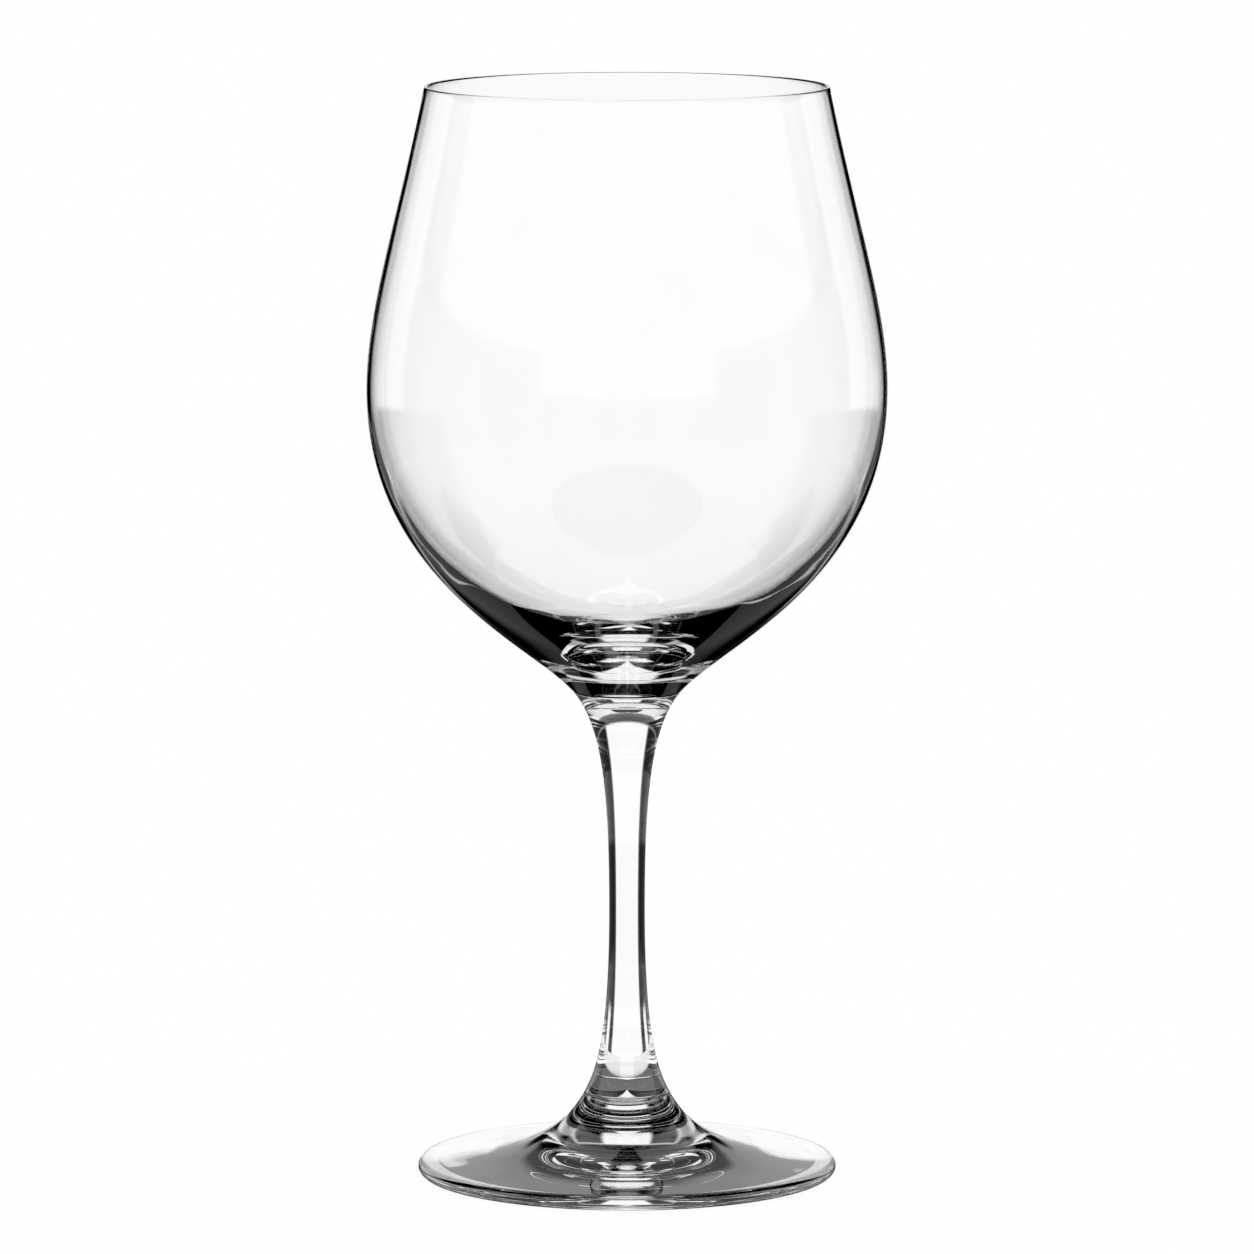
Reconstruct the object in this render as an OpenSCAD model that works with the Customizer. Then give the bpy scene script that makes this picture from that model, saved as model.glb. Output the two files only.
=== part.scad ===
// Stemmed wine glass with a large round bowl, hot worked from clear glass.
// Three separately made pieces are fused face to face: the blown bowl with its
// solid tapering base, the drawn stem, and the pressed foot with its raised boss.
// The origin is the centre of the ring that the foot rests on, and +Z is up.

/* [Whole glass] */
// Height from the table to the rim
glass_h = 232; // [190:1:290]

/* [Bowl] */
// Outside diameter at the rim
rim_d = 85.6; // [66:0.1:104]
// Outside diameter at the belly, the widest level
bowl_d = 110.2; // [92:0.1:134]
// Height of the bowl, from its weld on the stem to the rim
bowl_h = 128.5; // [106:0.5:155]
// Drop from the rim to the belly
belly_drop = 64; // [52:0.5:78]
// Wall thickness at the rim
rim_wall = 0.9; // [0.7:0.05:1.4]
// Wall thickness at the belly
belly_wall = 1.3; // [1:0.05:2]
// Inward lean of the wall at the rim, in degrees
rim_lean = 11.6; // [4:0.1:18]
// Solid glass between the weld and the lowest point of the hollow
base_t = 10.2; // [8:0.1:13]
// Spread of the solid base at the weld, in degrees from upright
base_lean = 40.6; // [30:0.1:50]

/* [Stem] */
// Diameter at the thinnest level
stem_d = 7.6; // [6:0.1:9.5]
// Drop from the bowl's weld to the thinnest level
neck_drop = 46.5; // [38:0.5:56]
// Diameter of the weld under the bowl
neck_d = 22.9; // [19:0.1:28]
// Diameter of the weld on the foot
ankle_d = 18; // [14:0.1:22]
// Spread of the stem at the foot's weld, in degrees from upright
ankle_lean = 28.2; // [20:0.1:36]

/* [Foot] */
// Outside diameter
foot_d = 89.2; // [72:0.1:110]
// Height of the boss that the stem is fused to
boss_h = 17.5; // [14:0.1:21]
// Thickness of the rounded edge
edge_t = 3.2; // [2.4:0.1:4]
// Rise of the top face at the edge, in degrees
edge_rise = 5.4; // [3:0.1:9]
// Width of the flat ring that the glass rests on
ring_w = 3; // [2:0.1:5]
// Depth of the shallow hollow under the foot
under_h = 1.8; // [0.5:0.1:2.6]

/* [Hidden] */

$fn = 120;
curve_steps = 28;
arc_steps = 10;
clear_glass = [0.86, 0.9, 0.91, 0.55];
stem_glass = [0.78, 0.84, 0.86, 0.6];
foot_glass = [0.82, 0.87, 0.89, 0.55];

rim_r = rim_d / 2;
bowl_r = bowl_d / 2;
stem_r = stem_d / 2;
neck_r = neck_d / 2;
ankle_r = ankle_d / 2;
foot_r = foot_d / 2;
edge_r = edge_t / 2;

weld_z = glass_h - bowl_h;
belly_z = glass_h - belly_drop;
floor_z = weld_z + base_t;
waist_z = weld_z - neck_drop;

// How far each end of a curve keeps its direction, as a share of the curve's span
rim_pull = 0.48;
belly_pull_up = 0.26;
belly_pull_down = 0.63;
base_pull = 0.215;
hollow_pull_down = 0.61;
floor_pull = 0.478;
neck_pull = 0.21;
waist_pull_up = 0.52;
waist_pull_down = 0.65;
ankle_pull = 0.155;
boss_pull = 0.38;
edge_pull = 0.47;
under_pull = 0.5;

// Smooth curve from a to d that leaves a towards b and reaches d from c
function curve(a, b, c, d) = [
    for (i = [0:curve_steps])
        let (t = i / curve_steps, s = 1 - t)
            s * s * s * a + 3 * s * s * t * b + 3 * s * t * t * c + t * t * t * d
];

// Arc about centre c with radius r, between two angles
function arc(c, r, from, to) = [
    for (i = [0:arc_steps])
        let (angle = from + (to - from) * i / arc_steps)
            c + r * [cos(angle), sin(angle)]
];

// Unit direction up and outwards, leaning from the axis by an angle
function lean(angle) = [sin(angle), cos(angle)];

// Outline without its last point, for joining to the next outline
function open_end(points) = [for (i = [0:len(points) - 2]) points[i]];

// The fire-polished rim is a full round between the outside and the inside wall
rim_centre = [rim_r - rim_wall / 2, glass_h - rim_wall / 2];
rim_side = rim_wall / 2 * [cos(rim_lean), sin(rim_lean)];

// Wall from the belly up to the rim, on the outside or on the inside
function upper_wall(belly_point, rim_point) =
    let (span = rim_point[1] - belly_point[1])
        curve(
            belly_point,
            belly_point + [0, belly_pull_up * span],
            rim_point + rim_pull * span * [sin(rim_lean), -cos(rim_lean)],
            rim_point
        );

// Outside of the bowl from the weld up to the belly
function lower_outside() =
    let (span = belly_z - weld_z)
        curve(
            [neck_r, weld_z],
            [neck_r, weld_z] + base_pull * span * lean(base_lean),
            [bowl_r, belly_z - belly_pull_down * span],
            [bowl_r, belly_z]
        );

// Inside of the bowl from its belly down to its lowest point, on the axis
function lower_inside() =
    let (r = bowl_r - belly_wall, span = belly_z - floor_z)
        curve(
            [r, belly_z],
            [r, belly_z - hollow_pull_down * span],
            [floor_pull * r, floor_z],
            [0, floor_z]
        );

function reversed(points) = [for (i = [len(points) - 1:-1:0]) points[i]];

module bowl() {
    outside = upper_wall([bowl_r, belly_z], rim_centre + rim_side);
    inside = upper_wall([bowl_r - belly_wall, belly_z], rim_centre - rim_side);
    color(clear_glass)
        rotate_extrude()
            polygon(concat(
                [[0, weld_z]],
                open_end(lower_outside()),
                open_end(outside),
                open_end(arc(rim_centre, rim_wall / 2, rim_lean, rim_lean + 180)),
                open_end(reversed(inside)),
                lower_inside()
            ));
}

module stem() {
    upper_span = weld_z - waist_z;
    lower_span = waist_z - boss_h;
    upper = curve(
        [stem_r, waist_z],
        [stem_r, waist_z + waist_pull_up * upper_span],
        [neck_r, weld_z] - neck_pull * upper_span * lean(base_lean),
        [neck_r, weld_z]
    );
    lower = curve(
        [ankle_r, boss_h],
        [ankle_r, boss_h] + ankle_pull * lower_span * lean(-ankle_lean),
        [stem_r, waist_z - waist_pull_down * lower_span],
        [stem_r, waist_z]
    );
    color(stem_glass)
        rotate_extrude()
            polygon(concat([[0, boss_h]], open_end(lower), upper, [[0, weld_z]]));
}

module foot() {
    edge_centre = [foot_r - edge_r, edge_r];
    edge_top = edge_centre + edge_r * lean(edge_rise);
    ring_in_r = foot_r - edge_r - ring_w;
    span = foot_r - ankle_r;
    top_face = curve(
        edge_top,
        edge_top + edge_pull * span * [-cos(edge_rise), sin(edge_rise)],
        [ankle_r, boss_h] - boss_pull * span * lean(-ankle_lean),
        [ankle_r, boss_h]
    );
    underside = curve(
        [0, under_h],
        [under_pull * ring_in_r, under_h],
        [ring_in_r * (1 - under_pull), under_h * (1 - under_pull)],
        [ring_in_r, 0]
    );
    color(foot_glass)
        rotate_extrude()
            polygon(concat(
                underside,
                open_end(arc(edge_centre, edge_r, -90, 90 - edge_rise)),
                top_face,
                [[0, boss_h]]
            ));
}

bowl();
stem();
foot();
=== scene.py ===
"""A clear stemmed wine glass on a white table: blown bowl, drawn stem and pressed foot, fused."""
from math import cos, pi, radians, sin

import bpy
import numpy as np
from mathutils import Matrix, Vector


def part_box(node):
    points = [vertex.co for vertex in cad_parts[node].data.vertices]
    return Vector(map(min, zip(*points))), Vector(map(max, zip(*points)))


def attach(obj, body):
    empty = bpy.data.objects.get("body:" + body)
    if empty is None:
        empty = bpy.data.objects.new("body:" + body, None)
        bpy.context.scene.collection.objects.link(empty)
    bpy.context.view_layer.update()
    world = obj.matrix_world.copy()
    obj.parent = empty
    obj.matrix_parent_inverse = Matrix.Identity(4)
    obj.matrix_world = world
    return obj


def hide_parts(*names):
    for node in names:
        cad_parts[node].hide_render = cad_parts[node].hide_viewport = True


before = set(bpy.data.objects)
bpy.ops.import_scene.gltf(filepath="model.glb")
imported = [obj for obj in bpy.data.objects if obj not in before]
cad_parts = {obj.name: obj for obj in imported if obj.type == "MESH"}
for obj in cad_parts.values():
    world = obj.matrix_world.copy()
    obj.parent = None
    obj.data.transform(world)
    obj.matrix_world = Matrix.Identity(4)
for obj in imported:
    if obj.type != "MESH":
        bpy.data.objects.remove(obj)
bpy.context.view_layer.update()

# ---------------------------------------------------------------- Bowl
# The bowl is blown from a gather of clear glass into a large round shape, thin at the rim and
# thicker below. A solid taper of glass is left under the hollow, where the stem is joined on.
# Its rim is cut and then fire-polished, which leaves a soft full round.

MM = 0.001
RIM_R = 42.8 * MM
RIM_WALL = 0.9 * MM
BELLY_WALL = 1.3 * MM
BELLY_DROP = 64.0 * MM
SOLID_BASE = 10.2 * MM
RIM_LEAN = radians(11.6)
BASE_LEAN = radians(40.6)
# How far each end of a curve keeps its direction, as a share of the curve's span
RIM_PULL = 0.48
BELLY_PULL_UP = 0.26
BELLY_PULL_DOWN = 0.63
BASE_PULL = 0.215
HOLLOW_PULL_DOWN = 0.61
FLOOR_PULL = 0.478


def lean(angle):
    """Direction up and outwards in the outline's plane, leaning from the axis by an angle."""
    return np.array([sin(angle), cos(angle)])


def ease(start, start_pull, end_pull, end, steps=72):
    """Points of a smooth curve that leaves start for start_pull and reaches end from end_pull."""
    t = np.linspace(0.0, 1.0, steps + 1)[:, None]
    corners = [np.array(point) for point in (start, start_pull, end_pull, end)]
    weights = ((1 - t) ** 3, 3 * t * (1 - t) ** 2, 3 * t * t * (1 - t), t ** 3)
    return sum(weight * corner for weight, corner in zip(weights, corners))


def arc(centre, radius, start, end, steps=16):
    """Points of an arc in the outline's plane, between two angles."""
    turn = np.linspace(start, end, steps + 1)
    return np.array(centre) + radius * np.stack([np.cos(turn), np.sin(turn)], axis=1)


def flat(radius, height):
    """Points of a flat round face, from the axis outwards."""
    return np.array([(0.0, height), (radius * 0.5, height), (radius, height)])


def joined(*stretches):
    """One outline from stretches that share their end points."""
    outline = [stretches[0]]
    outline += [stretch[1:] for stretch in stretches[1:]]
    return np.concatenate(outline)


def turned(name, outline, sides=256):
    """A closed body of revolution from an outline that starts and ends on the axis."""
    turn = np.arange(sides) * 2 * pi / sides
    rings = outline[1:-1]
    verts = [(0.0, 0.0, outline[0][1])]
    for radius, height in rings:
        verts += [(radius * cos(a), radius * sin(a), height) for a in turn]
    verts.append((0.0, 0.0, outline[-1][1]))
    last = len(verts) - 1
    faces = []
    for s in range(sides):
        n = (s + 1) % sides
        faces.append((0, 1 + n, 1 + s))
        for ring in range(len(rings) - 1):
            low, high = 1 + ring * sides, 1 + (ring + 1) * sides
            faces.append((low + s, low + n, high + n, high + s))
        faces.append((last - sides + s, last - sides + n, last))
    mesh = bpy.data.meshes.new(name)
    mesh.from_pydata(verts, [], faces)
    mesh.validate()
    mesh.shade_smooth()
    piece = bpy.data.objects.new(name, mesh)
    bpy.context.scene.collection.objects.link(piece)
    return piece


bowl_low, bowl_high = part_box("bowl")
stem_low, stem_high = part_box("stem")
rim_z = bowl_high.z
weld_z = bowl_low.z
belly_z = rim_z - BELLY_DROP
floor_z = weld_z + SOLID_BASE
belly_r = bowl_high.x
inner_r = belly_r - BELLY_WALL
neck_r = stem_high.x


def wall(radius, rim_point):
    """The bowl's wall from the belly up to the rim, on the outside or on the inside."""
    span = rim_point[1] - belly_z
    pull = rim_point - RIM_PULL * span * lean(-RIM_LEAN)
    return ease((radius, belly_z), (radius, belly_z + BELLY_PULL_UP * span), pull, rim_point)


rim_centre = np.array([RIM_R - RIM_WALL / 2, rim_z - RIM_WALL / 2])
rim_side = RIM_WALL / 2 * np.array([cos(RIM_LEAN), sin(RIM_LEAN)])
outer_span = belly_z - weld_z
inner_span = belly_z - floor_z
base_end = np.array([neck_r, weld_z])

bowl_outline = joined(
    flat(neck_r, weld_z),
    ease(base_end, base_end + BASE_PULL * outer_span * lean(BASE_LEAN),
         (belly_r, belly_z - BELLY_PULL_DOWN * outer_span), (belly_r, belly_z)),
    wall(belly_r, rim_centre + rim_side),
    arc(rim_centre, RIM_WALL / 2, RIM_LEAN, RIM_LEAN + pi),
    wall(inner_r, rim_centre - rim_side)[::-1],
    ease((inner_r, belly_z), (inner_r, belly_z - HOLLOW_PULL_DOWN * inner_span),
         (FLOOR_PULL * inner_r, floor_z), (0.0, floor_z)),
)
bowl = turned("bowl_blown_glass", bowl_outline)


def to_linear(hex_colour, alpha=1.0):
    """An sRGB hex colour as linear red, green, blue and alpha."""
    parts = [int(hex_colour[i:i + 2], 16) / 255 for i in (1, 3, 5)]
    return [p / 12.92 if p <= 0.04045 else ((p + 0.055) / 1.055) ** 2.4 for p in parts] + [alpha]


def add_node(tree, kind, settings=None, **inputs):
    """Adds a node with its settings, and sets or links its inputs by name, or by number as _0."""
    node = tree.nodes.new(kind)
    for key, value in (settings or {}).items():
        setattr(node, key, value)
    for key, value in inputs.items():
        by_number = key[0] == "_" and key[1:].isdigit()
        socket = node.inputs[int(key[1:])] if by_number else node.inputs[key]
        if isinstance(value, bpy.types.NodeSocket):
            tree.links.new(value, socket)
        else:
            socket.default_value = value
    return node


GLASS_IOR = 1.52
GLASS_HEX = "#FFFFFF"
GLASS_TINT_HEX = "#FEFEFE"
WAVE_FADE = 8 * MM


def clear_glass(name, wave, depth, change=1.0, below=0.0):
    """Clear soda-lime glass, smooth from the flame, with the slight waves that hot working leaves.
    The waves have a length and a depth, and the depth changes by a factor below a height."""
    material = bpy.data.materials.new(name)
    material.use_nodes = True
    tree = material.node_tree
    tree.nodes.clear()
    coords = add_node(tree, "ShaderNodeTexCoord")
    place = add_node(tree, "ShaderNodeSeparateXYZ", Vector=coords.outputs["Object"])
    waves = add_node(tree, "ShaderNodeTexNoise", Vector=coords.outputs["Object"],
                     Scale=1 / wave, Detail=0.0)
    growth = add_node(tree, "ShaderNodeMapRange", {"interpolation_type": "SMOOTHSTEP"},
                      Value=place.outputs["Z"], **{
                          "From Min": below - WAVE_FADE, "From Max": below,
                          "To Min": change, "To Max": 1.0})
    height = add_node(tree, "ShaderNodeMath", {"operation": "MULTIPLY"},
                      _0=waves.outputs["Fac"], _1=growth.outputs["Result"])
    bump = add_node(tree, "ShaderNodeBump", Strength=1.0, Distance=depth, Height=height.outputs[0])
    tint = add_node(tree, "ShaderNodeMix", {"data_type": "RGBA"}, _0=waves.outputs["Fac"],
                    _6=to_linear(GLASS_HEX), _7=to_linear(GLASS_TINT_HEX))
    glass = add_node(tree, "ShaderNodeBsdfPrincipled", **{
        "Base Color": tint.outputs[2],
        "Roughness": 0.0,
        "IOR": GLASS_IOR,
        "Transmission Weight": 1.0,
        "Normal": bump.outputs["Normal"],
    })
    add_node(tree, "ShaderNodeOutputMaterial", Surface=glass.outputs["BSDF"])
    return material


def fused_face():
    """The inside of a fused joint: light goes straight on, as it does in one piece of glass."""
    material = bpy.data.materials.new("fused_joint_no_boundary")
    material.use_nodes = True
    tree = material.node_tree
    tree.nodes.clear()
    straight_on = add_node(tree, "ShaderNodeBsdfTransparent")
    add_node(tree, "ShaderNodeOutputMaterial", Surface=straight_on.outputs["BSDF"])
    return material


FLAT_WITHIN = 0.0001 * MM
JOINT_WITHIN = 0.001 * MM


def finish_glass(piece, glass, fused, joint_heights):
    """Gives a piece its glass, and its flat joint faces the see-through one."""
    piece.data.materials.append(glass)
    piece.data.materials.append(fused)
    for face in piece.data.polygons:
        heights = [piece.data.vertices[v].co.z for v in face.vertices]
        is_flat = max(heights) - min(heights) < FLAT_WITHIN
        if is_flat and any(abs(heights[0] - z) < JOINT_WITHIN for z in joint_heights):
            face.material_index = 1


# Blown glass: the wall is all but true, so it only bends straight lines seen through it by a
# hair. The thick end has deeper ripples, where the glass chilled against the mould.
blown = clear_glass("blown_clear_glass", wave=14 * MM, depth=0.03 * MM,
                    change=8.0, below=134 * MM)
fused = fused_face()
finish_glass(bowl, blown, fused, [weld_z])
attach(bowl, "root")
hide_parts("bowl")

# ---------------------------------------------------------------- Stem
# The stem is a solid rod of the same glass, drawn thin while hot. It flares out at the top to
# the bowl's base and at the bottom to the foot, and is fused to both.

STEM_R = 3.8 * MM
NECK_DROP = 46.5 * MM
ANKLE_R = 9.0 * MM
ANKLE_LEAN = radians(28.2)
NECK_PULL = 0.21
WAIST_PULL_UP = 0.52
WAIST_PULL_DOWN = 0.65
ANKLE_PULL = 0.155

boss_z = stem_low.z
waist_z = weld_z - NECK_DROP
upper_span = weld_z - waist_z
lower_span = waist_z - boss_z
neck_end = np.array([neck_r, weld_z])
ankle_end = np.array([ANKLE_R, boss_z])

stem_outline = joined(
    flat(ANKLE_R, boss_z),
    ease(ankle_end, ankle_end + ANKLE_PULL * lower_span * lean(-ANKLE_LEAN),
         (STEM_R, waist_z - WAIST_PULL_DOWN * lower_span), (STEM_R, waist_z)),
    ease((STEM_R, waist_z), (STEM_R, waist_z + WAIST_PULL_UP * upper_span),
         neck_end - NECK_PULL * upper_span * lean(BASE_LEAN), neck_end),
    flat(neck_r, weld_z)[::-1],
)
stem = turned("stem_drawn_glass", stem_outline)

# Drawn glass: pulling has stretched its waves flat, so the dark edges run clean.
drawn = clear_glass("drawn_clear_glass", wave=16 * MM, depth=0.02 * MM)
finish_glass(stem, drawn, fused, [weld_z, boss_z])
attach(stem, "root")
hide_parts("stem")

# ---------------------------------------------------------------- Foot
# The foot is a pressed disc of the same glass with a raised boss, which the stem is fused to.
# Its edge is fire-polished round, and its underside is slightly hollow.

EDGE_R = 1.6 * MM
EDGE_RISE = radians(5.4)
RING_W = 3.0 * MM
UNDER_H = 1.8 * MM
BOSS_PULL = 0.38
EDGE_PULL = 0.47
UNDER_PULL = 0.5

_, foot_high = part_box("foot")
foot_r = foot_high.x
edge_centre = np.array([foot_r - EDGE_R, EDGE_R])
edge_top = edge_centre + EDGE_R * lean(EDGE_RISE)
edge_inwards = np.array([-cos(EDGE_RISE), sin(EDGE_RISE)])
ring_in_r = foot_r - EDGE_R - RING_W
foot_span = foot_r - ANKLE_R

foot_outline = joined(
    ease((0.0, UNDER_H), (UNDER_PULL * ring_in_r, UNDER_H),
         ((1 - UNDER_PULL) * ring_in_r, (1 - UNDER_PULL) * UNDER_H), (ring_in_r, 0.0)),
    np.array([(ring_in_r, 0.0), (foot_r - EDGE_R, 0.0)]),
    arc(edge_centre, EDGE_R, -pi / 2, pi / 2 - EDGE_RISE, steps=32),
    ease(edge_top, edge_top + EDGE_PULL * foot_span * edge_inwards,
         ankle_end - BOSS_PULL * foot_span * lean(-ANKLE_LEAN), ankle_end),
    flat(ANKLE_R, boss_z)[::-1],
)
foot = turned("foot_pressed_glass", foot_outline)

# Pressed glass: slight waves from the mould, which swirl the light round the boss. The flame has
# smoothed them towards the edge.
pressed = clear_glass("pressed_clear_glass", wave=13 * MM, depth=0.25 * MM,
                      change=0.15, below=8 * MM)
finish_glass(foot, pressed, fused, [boss_z])
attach(foot, "root")
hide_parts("foot")

# ---------------------------------------------------------------- Table
# A plain matt white table top, which the glass stands on loose. It shows as white with the
# glass's faint shadow on it.

TABLE_HALF = 6.0
SHADOW_FULL_R = 90 * MM
SHADOW_END_R = 170 * MM
TABLE_GLOW = 0.935
TABLE_HEX = "#494949"
WHITE_HEX = "#FFFFFF"

corners = [(-TABLE_HALF, -TABLE_HALF, 0.0), (TABLE_HALF, -TABLE_HALF, 0.0),
           (TABLE_HALF, TABLE_HALF, 0.0), (-TABLE_HALF, TABLE_HALF, 0.0)]
mesh = bpy.data.meshes.new("table_top")
mesh.from_pydata(corners, [], [(0, 1, 2, 3)])
table = bpy.data.objects.new("table_top", mesh)
bpy.context.scene.collection.objects.link(table)

# Lit to plain white all over. Near the glass a part of that white is light that falls on it, so
# the shadow shows there, and fades out before the white goes on alone.
white_table = bpy.data.materials.new("white_table")
white_table.use_nodes = True
tree = white_table.node_tree
tree.nodes.clear()
coords = add_node(tree, "ShaderNodeTexCoord")
reach = add_node(tree, "ShaderNodeVectorMath", {"operation": "LENGTH"},
                 _0=coords.outputs["Object"])
near = add_node(tree, "ShaderNodeMapRange", {"interpolation_type": "SMOOTHSTEP"},
                Value=reach.outputs["Value"], **{
                    "From Min": SHADOW_FULL_R, "From Max": SHADOW_END_R,
                    "To Min": 1.0, "To Max": 0.0})
far_white = add_node(tree, "ShaderNodeEmission", Color=to_linear(WHITE_HEX), Strength=1.0)
near_white = add_node(tree, "ShaderNodeEmission", Color=to_linear(WHITE_HEX), Strength=TABLE_GLOW)
matt = add_node(tree, "ShaderNodeBsdfDiffuse", Color=to_linear(TABLE_HEX))
shaded = add_node(tree, "ShaderNodeAddShader", _0=near_white.outputs[0], _1=matt.outputs[0])
top = add_node(tree, "ShaderNodeMixShader", _0=near.outputs["Result"],
                 _1=far_white.outputs[0], _2=shaded.outputs[0])
path = add_node(tree, "ShaderNodeLightPath")
away = add_node(tree, "ShaderNodeBsdfTransparent")
seen = add_node(tree, "ShaderNodeMixShader", _0=path.outputs["Is Camera Ray"],
                _1=away.outputs[0], _2=top.outputs[0])
add_node(tree, "ShaderNodeOutputMaterial", Surface=seen.outputs[0])
mesh.materials.append(white_table)

# ---------------------------------------------------------------- Studio light
# The glass stands in a white tent with dark cards in it, as clear glass is lit to show its
# edges. Each card is an area of directions that is seen in the glass, never a lamp.

IN_DEGREES = 180 / pi

world = bpy.data.worlds.new("studio_tent")
bpy.context.scene.world = world
world.use_nodes = True
tree = world.node_tree
tree.nodes.clear()


def calc(operation, a, b=0.0, c=0.0):
    """A number worked out by one Math node of the studio."""
    return add_node(tree, "ShaderNodeMath", {"operation": operation}, _0=a, _1=b, _2=c).outputs[0]


def step_up(value, edge, blur):
    """0 below an edge and 1 above it, with a soft change across the blur."""
    node = add_node(tree, "ShaderNodeMapRange", {"interpolation_type": "SMOOTHSTEP"}, Value=value,
                    **{"From Min": edge - blur / 2, "From Max": edge + blur / 2})
    return node.outputs["Result"]


def choose(factor, when_off, when_on):
    """One brightness or the other."""
    node = add_node(tree, "ShaderNodeMix", {"data_type": "FLOAT"},
                    _0=factor, _2=when_off, _3=when_on)
    return node.outputs[0]


# A direction's azimuth is 0 at +Y and grows towards -X, and its elevation is 90 straight up.
coords = add_node(tree, "ShaderNodeTexCoord")
look = add_node(tree, "ShaderNodeSeparateXYZ", Vector=coords.outputs["Generated"])
to_left = calc("MULTIPLY", look.outputs["X"], -1.0)
azimuth = calc("MULTIPLY", calc("ARCTAN2", to_left, look.outputs["Y"]), IN_DEGREES)
elevation = calc("MULTIPLY", calc("ARCSINE", look.outputs["Z"]), IN_DEGREES)


def cards(level, *areas):
    """Hangs cards in front of what is there. Each has its station, how far to both sides of it
    the card starts and ends, its lower and upper edge, its brightness, and how soft its upright
    and its level edges are; all but the brightness are in degrees."""
    for station, near, far, low, high, shade, soft_side, soft_up in areas:
        off = calc("ABSOLUTE", calc("WRAP", calc("SUBTRACT", azimuth, station), 180.0, -180.0))
        side = calc("SUBTRACT", step_up(off, near, soft_side), step_up(off, far, soft_side))
        up = calc("SUBTRACT", step_up(elevation, low, soft_up), step_up(elevation, high, soft_up))
        level = choose(calc("MULTIPLY", side, up), level, shade)
    return level


# Light that only passes through one piece of glass. The side cards draw the stem's dark edges,
# the overhead one ends its bright middle at the top, and the table's grey ends it at the foot.
# The rest are windows in the side cards, so that the glass is clear from the sides as well.
through = cards(
    1.0,
    (0, 28, 112, -50, 21, 0.0, 4, 4),
    (0, -5, 185, 21, 80, 0.0, 4, 4),
    (0, -5, 40, -74, -50, 0.4, 6, 4),
    (90, -5, 8, -50, 3, 1.0, 3, 2),
    (-90, -5, 8, -50, 3, 1.0, 3, 2),
    (45, -5, 6, -60, -18, 1.0, 3, 3),
    (-45, -5, 6, -60, -18, 1.0, 3, 3),
)

# Light that is mirrored in glass. The upright cards beside the backdrop draw the bowl's thin
# dark outline, with a grey fall-off, and the low ones the dark ring of the bowl's thick end.
mirrored = cards(
    1.0,
    (0, 10, 24, -18, 20, 0.0, 3, 3),
    (0, 24, 33, -16, 12, 0.45, 6, 3),
    (0, 10, 60, -95, -20, 0.0, 6, 4),
    (0, -5, 60, 21, 38, 0.0, 6, 4),
    (0, -5, 12, -50, -15, 0.0, 3, 4),
)

# What the outside faces mirror. The top of the foot fades from light at its edge to dark at the
# boss, and the last card keeps the sides of the stem dark.
front = cards(
    mirrored,
    (0, 60, 185, 40, 95, 0.0, 6, 4),
    (0, 24, 82, 10, 40, 0.0, 6, 4),
    (0, -5, 14, 19, 25, 1.0, 5, 5),
    (0, -5, 14, 25, 42, 0.35, 5, 6),
    (0, 22, 92, -50, -7.6, 0.25, 8, 1.5),
)

# Light that is thrown about inside solid glass before it leaves: the stem, its flares and the
# boss of the foot, which stand out dark against the thin bowl.
inside = cards(
    mirrored,
    (0, 28, 110, -20, -7.8, 0.0, 6, 1.5),
    (0, 25, 60, 12, 36, 0.0, 6, 4),
    (0, 60, 185, 28, 95, 0.0, 6, 4),
    (0, 105, 185, -20, -1, 0.0, 6, 2),
    (0, 62, 140, -9, 9, 0.0, 6, 2),
    (0, 60, 105, -50, -20, 0.0, 6, 4),
    (0, 60, 185, -95, -50, 0.6, 6, 4),
)

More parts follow.
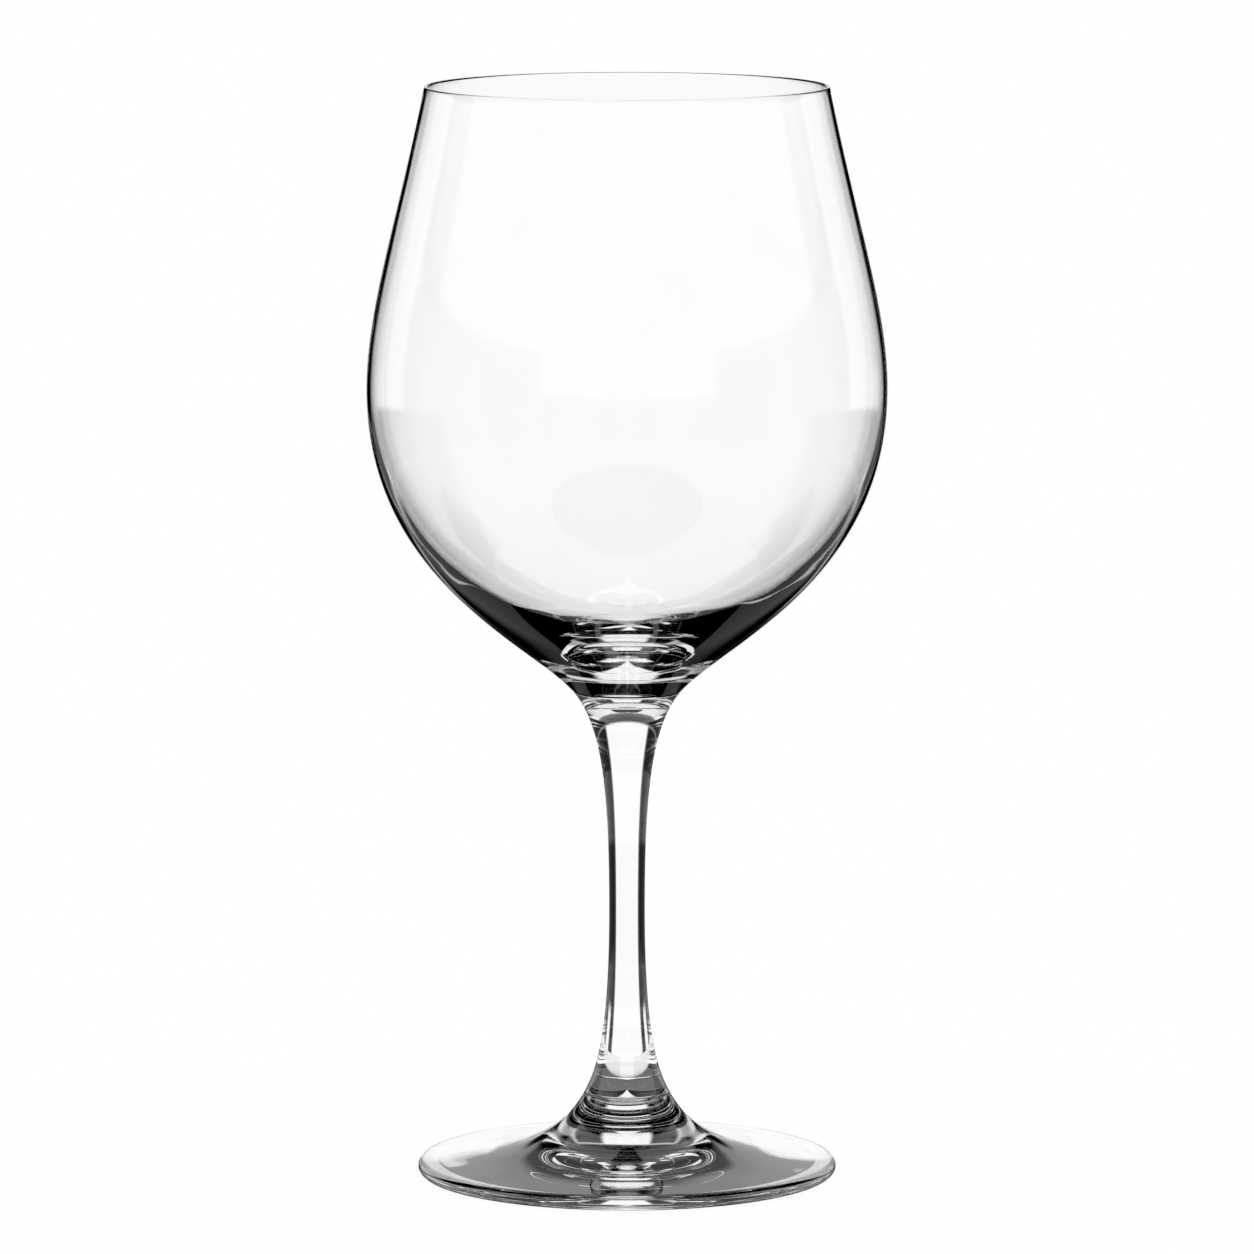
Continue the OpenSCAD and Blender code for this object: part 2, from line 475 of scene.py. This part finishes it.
# The part of it that turns only once inside the glass, which shows in the flare above the foot,
# in the dome of the boss and in the oval under the hollow.
once = cards(
    inside,
    (0, -5, 60, 34, 95, 0.0, 6, 4),
    (0, -5, 12, -50, -13, 1.0, 3, 4),
    (0, 60, 185, -95, -20, 0.12, 6, 4),
)

# Which of them a ray of light sees goes by how often it was mirrored and how many faces it went
# through. Light through both of the bowl's walls is white everywhere, so the bowl stays clear.
path = add_node(tree, "ShaderNodeLightPath")
times_mirrored = path.outputs["Glossy Depth"]
faces_crossed = path.outputs["Transmission Depth"]
none_crossed = calc("LESS_THAN", faces_crossed, 0.5)
two_crossed = calc("COMPARE", faces_crossed, 2.0, 0.5)
is_inside = calc("MAXIMUM", two_crossed, calc("GREATER_THAN", times_mirrored, 1.5))
is_once = calc("MULTIPLY", two_crossed, calc("COMPARE", times_mirrored, 1.0, 0.5))
solid_level = choose(is_once, inside, once)
mirrored_level = choose(is_inside, choose(none_crossed, mirrored, front), solid_level)
through_level = choose(two_crossed, 1.0, through)
glass_level = choose(calc("GREATER_THAN", times_mirrored, 0.5), through_level, mirrored_level)
is_white = calc("MAXIMUM", path.outputs["Is Camera Ray"], path.outputs["Is Diffuse Ray"])
level = calc("MAXIMUM", glass_level, is_white)
sky = add_node(tree, "ShaderNodeBackground", Color=to_linear(WHITE_HEX), Strength=level)
add_node(tree, "ShaderNodeOutputWorld", Surface=sky.outputs[0])

# ---------------------------------------------------------------- Camera
# A long lens, a little above the rim and tilted down.

CAMERA_DISTANCE = 1.869
CAMERA_HEIGHT = 0.363
CAMERA_TILT = radians(7.491)
SENSOR_MM = 36.0
LENS_MM = 255.378947

camera_data = bpy.data.cameras.new("camera")
camera_data.sensor_width = SENSOR_MM
camera_data.lens = LENS_MM
camera = bpy.data.objects.new("camera", camera_data)
bpy.context.scene.collection.objects.link(camera)
camera.location = (0.0, -CAMERA_DISTANCE, CAMERA_HEIGHT)
camera.rotation_euler = (pi / 2 - CAMERA_TILT, 0.0, 0.0)
bpy.context.scene.camera = camera
bpy.context.scene.view_settings.view_transform = "Standard"
